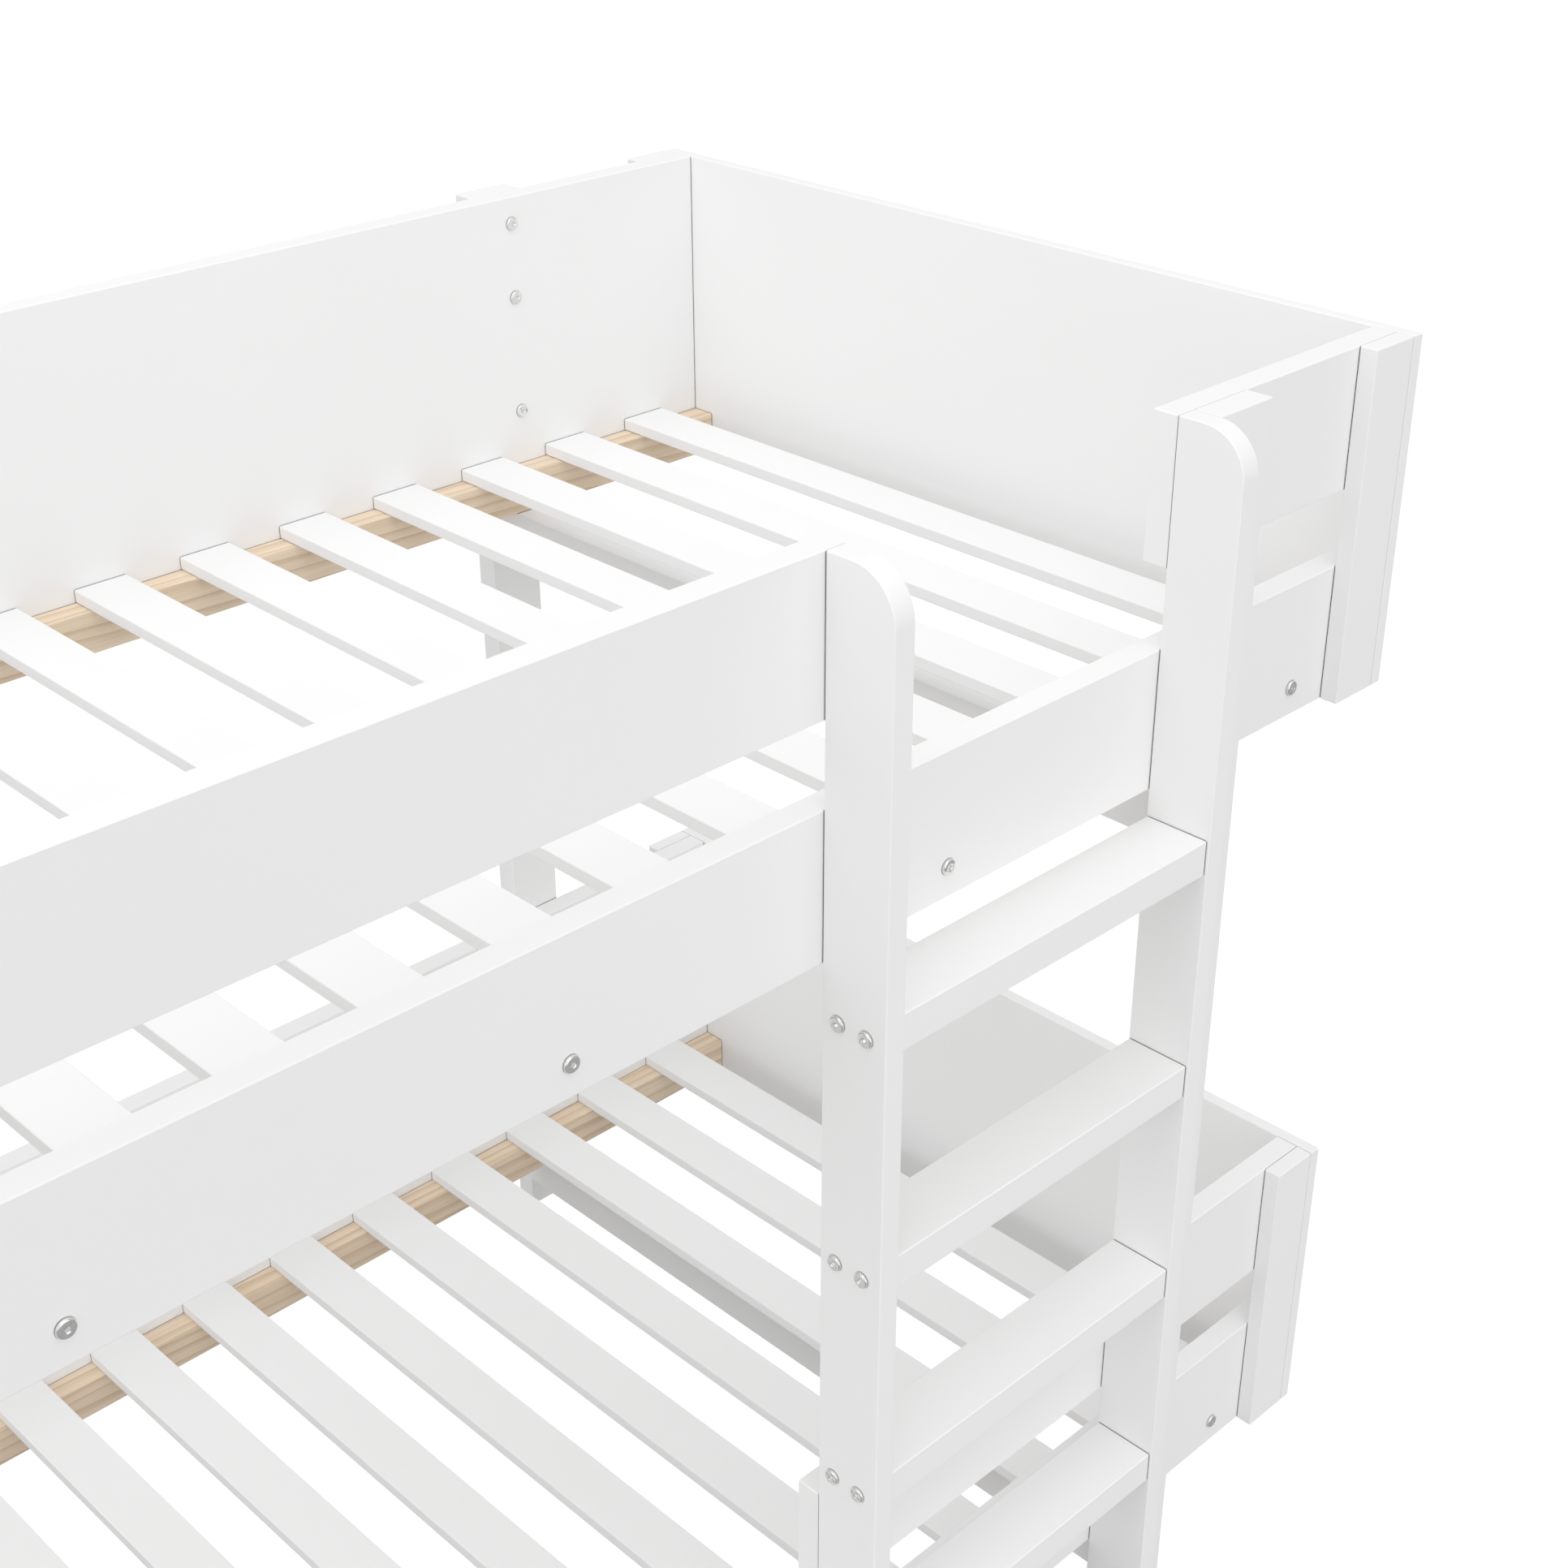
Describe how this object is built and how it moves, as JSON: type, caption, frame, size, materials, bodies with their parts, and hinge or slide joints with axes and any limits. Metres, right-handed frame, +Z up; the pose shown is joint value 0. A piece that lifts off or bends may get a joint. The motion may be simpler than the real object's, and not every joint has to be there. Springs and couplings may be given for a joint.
{
  "type": "bunk bed",
  "caption": "White bunk bed: slatted bed boxes with solid back and end panels, guard boards, flat leg boards and an upright flat-tread ladder at the front.",
  "frame": {"origin": "on the floor, in the middle of the bounding box", "axes": "+X along the bed towards the ladder's end, +Y from the ladder's side to the back, +Z up"},
  "size_m": [2.0358, 1.0804, 1.3779],
  "materials": {
    "white_paint": "satin white paint on smooth wood",
    "natural_pine": "planed, unpainted pine with straight grain",
    "nickel_steel": "nickel-plated, bright"
  },
  "bodies": {
    "root": {"upper_back_panel": "white_paint", "upper_front_rail": "white_paint", "upper_end_panel_left": "white_paint", "upper_cross_beam_left": "white_paint", "upper_corner_post_front_left": "white_paint", "upper_corner_post_rear_left": "white_paint", "upper_end_panel_right": "white_paint", "upper_cross_beam_right": "white_paint", "upper_corner_post_front_right": "white_paint", "upper_corner_post_rear_right": "white_paint", "lower_back_panel": "white_paint", "lower_front_rail": "white_paint", "lower_end_panel_left": "white_paint", "lower_cross_beam_left": "white_paint", "lower_corner_post_front_left": "white_paint", "lower_corner_post_rear_left": "white_paint", "lower_end_panel_right": "white_paint", "lower_cross_beam_right": "white_paint", "lower_corner_post_front_right": "white_paint", "lower_corner_post_rear_right": "white_paint", "upper_guard_long": "white_paint", "upper_guard_short": "white_paint", "lower_guard": "white_paint", "lower_slat_base": "white_paint", "upper_slat_01": "white_paint", "upper_slat_02": "white_paint", "upper_slat_03": "white_paint", "upper_slat_04": "white_paint", "upper_slat_05": "white_paint", "upper_slat_06": "white_paint", "upper_slat_07": "white_paint", "upper_slat_08": "white_paint", "upper_slat_09": "white_paint", "upper_slat_10": "white_paint", "upper_slat_11": "white_paint", "upper_slat_12": "white_paint", "upper_slat_13": "white_paint", "upper_slat_14": "white_paint", "upper_slat_15": "white_paint", "upper_slat_16": "white_paint", "rear_leg_left": "white_paint", "rear_leg_right": "white_paint", "front_leg_left": "white_paint", "front_leg_right": "white_paint", "ladder_stile_left": "white_paint", "ladder_stile_right": "white_paint", "ladder_tread_1": "white_paint", "ladder_tread_2": "white_paint", "ladder_tread_3": "white_paint", "ladder_tread_4": "white_paint", "upper_ledger_front": "natural_pine", "upper_ledger_rear": "natural_pine", "rail_bolt_1": "nickel_steel", "rail_bolt_2": "nickel_steel", "rail_bolt_3": "nickel_steel", "rail_bolt_4": "nickel_steel", "rail_bolt_5": "nickel_steel", "leg_bolt_1": "nickel_steel", "leg_bolt_2": "nickel_steel", "leg_bolt_3": "nickel_steel"}
  },
  "joints": []
}
